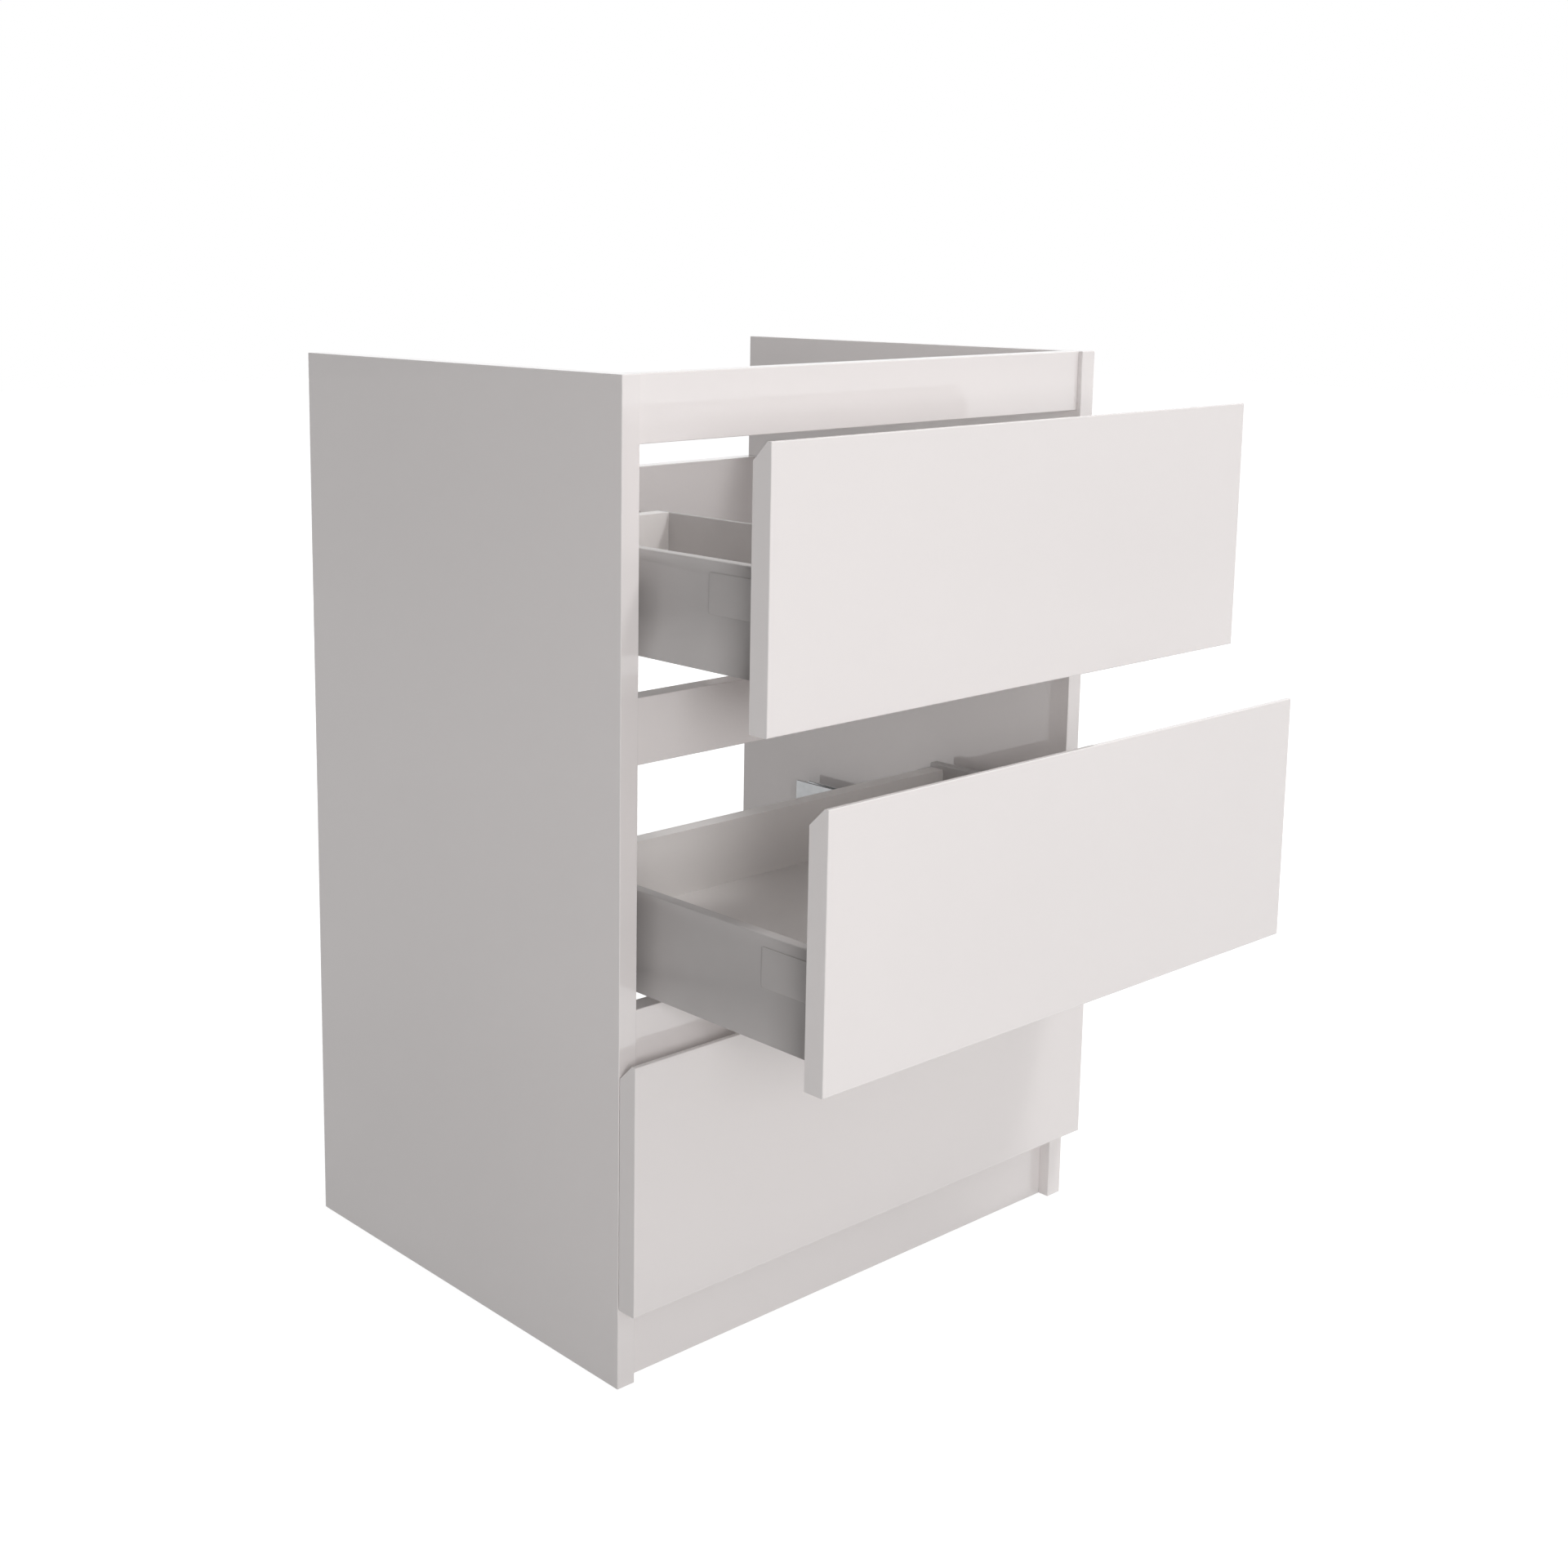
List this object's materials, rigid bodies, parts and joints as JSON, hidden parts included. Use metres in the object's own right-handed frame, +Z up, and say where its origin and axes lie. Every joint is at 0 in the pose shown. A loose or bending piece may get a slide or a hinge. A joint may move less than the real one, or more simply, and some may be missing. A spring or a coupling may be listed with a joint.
{
  "type": "bathroom base cabinet",
  "caption": "White gloss bathroom base cabinet with an open top and back, a recessed plinth and three handleless drawers, the upper one cut out round the trap.",
  "frame": {"origin": "on the floor, in the middle of the plinth board's underside", "axes": "+Z up, +X to the right of someone facing the drawer fronts, +Y towards the wall"},
  "size_m": [0.6, 0.6788, 0.8574],
  "materials": {
    "white_lacquer": "board with high-gloss white lacquer and matching edge banding",
    "white_laminate": "board with satin white laminate",
    "grey_steel": "folded sheet steel, grey powder coat",
    "grey_plastic": "moulded grey plastic",
    "zinc_steel": "zinc-plated steel",
    "beech": "turned beech",
    "buffer_rubber": "translucent soft pad"
  },
  "bodies": {
    "carcass": {"carcass_cam_bolts": "zinc_steel", "carcass_cams": "zinc_steel", "carcass_dowels": "beech", "carcass_floor": "white_lacquer", "front_rail_lower": "white_lacquer", "front_rail_middle": "white_lacquer", "front_rail_top": "white_lacquer", "plinth_board": "white_lacquer", "rear_rail": "white_lacquer", "runner_1_cabinet_member_left": "zinc_steel", "runner_1_cabinet_member_right": "zinc_steel", "runner_2_cabinet_member_left": "zinc_steel", "runner_2_cabinet_member_right": "zinc_steel", "runner_3_cabinet_member_left": "zinc_steel", "runner_3_cabinet_member_right": "zinc_steel", "runner_screws": "zinc_steel", "side_panel_left": "white_lacquer", "side_panel_right": "white_lacquer"},
    "drawer_1": {"drawer_1_back_left": "white_laminate", "drawer_1_back_right": "white_laminate", "drawer_1_bottom": "white_laminate", "drawer_1_buffers": "buffer_rubber", "drawer_1_cover_caps": "grey_plastic", "drawer_1_front": "white_lacquer", "drawer_1_front_brackets": "zinc_steel", "drawer_1_screws": "zinc_steel", "drawer_1_side_left": "grey_steel", "drawer_1_side_right": "grey_steel", "drawer_1_trap_surround": "grey_plastic", "runner_1_drawer_member_left": "zinc_steel", "runner_1_drawer_member_right": "zinc_steel"},
    "runner_1_middle": {"runner_1_middle_member_left": "zinc_steel", "runner_1_middle_member_right": "zinc_steel"},
    "drawer_2": {"drawer_2_back": "white_laminate", "drawer_2_bottom": "white_laminate", "drawer_2_buffers": "buffer_rubber", "drawer_2_cover_caps": "grey_plastic", "drawer_2_front": "white_lacquer", "drawer_2_front_brackets": "zinc_steel", "drawer_2_screws": "zinc_steel", "drawer_2_side_left": "grey_steel", "drawer_2_side_right": "grey_steel", "runner_2_drawer_member_left": "zinc_steel", "runner_2_drawer_member_right": "zinc_steel"},
    "runner_2_middle": {"runner_2_middle_member_left": "zinc_steel", "runner_2_middle_member_right": "zinc_steel"},
    "drawer_3": {"drawer_3_back": "white_laminate", "drawer_3_bottom": "white_laminate", "drawer_3_buffers": "buffer_rubber", "drawer_3_cover_caps": "grey_plastic", "drawer_3_front": "white_lacquer", "drawer_3_front_brackets": "zinc_steel", "drawer_3_screws": "zinc_steel", "drawer_3_side_left": "grey_steel", "drawer_3_side_right": "grey_steel", "runner_3_drawer_member_left": "zinc_steel", "runner_3_drawer_member_right": "zinc_steel"},
    "runner_3_middle": {"runner_3_middle_member_left": "zinc_steel", "runner_3_middle_member_right": "zinc_steel"}
  },
  "joints": [
    {"name": "drawer_1_slide", "type": "slide", "parent": "carcass", "child": "drawer_1", "axis": [0, -1, 0], "range_m": [-0.1445, 0.2055]},
    {"name": "runner_1_slide", "type": "slide", "parent": "carcass", "child": "runner_1_middle", "axis": [0, -1, 0], "range_m": [-0.07225, 0.10275]},
    {"name": "drawer_2_slide", "type": "slide", "parent": "carcass", "child": "drawer_2", "axis": [0, -1, 0], "range_m": [-0.2085, 0.1415]},
    {"name": "runner_2_slide", "type": "slide", "parent": "carcass", "child": "runner_2_middle", "axis": [0, -1, 0], "range_m": [-0.10425, 0.07075]},
    {"name": "drawer_3_slide", "type": "slide", "parent": "carcass", "child": "drawer_3", "axis": [0, -1, 0], "range_m": [0, 0.35]},
    {"name": "runner_3_slide", "type": "slide", "parent": "carcass", "child": "runner_3_middle", "axis": [0, -1, 0], "range_m": [0, 0.175]}
  ],
  "couplings": [
    {"joint": "runner_1_slide", "follows": "drawer_1_slide", "ratio": 0.5},
    {"joint": "runner_2_slide", "follows": "drawer_2_slide", "ratio": 0.5},
    {"joint": "runner_3_slide", "follows": "drawer_3_slide", "ratio": 0.5}
  ]
}
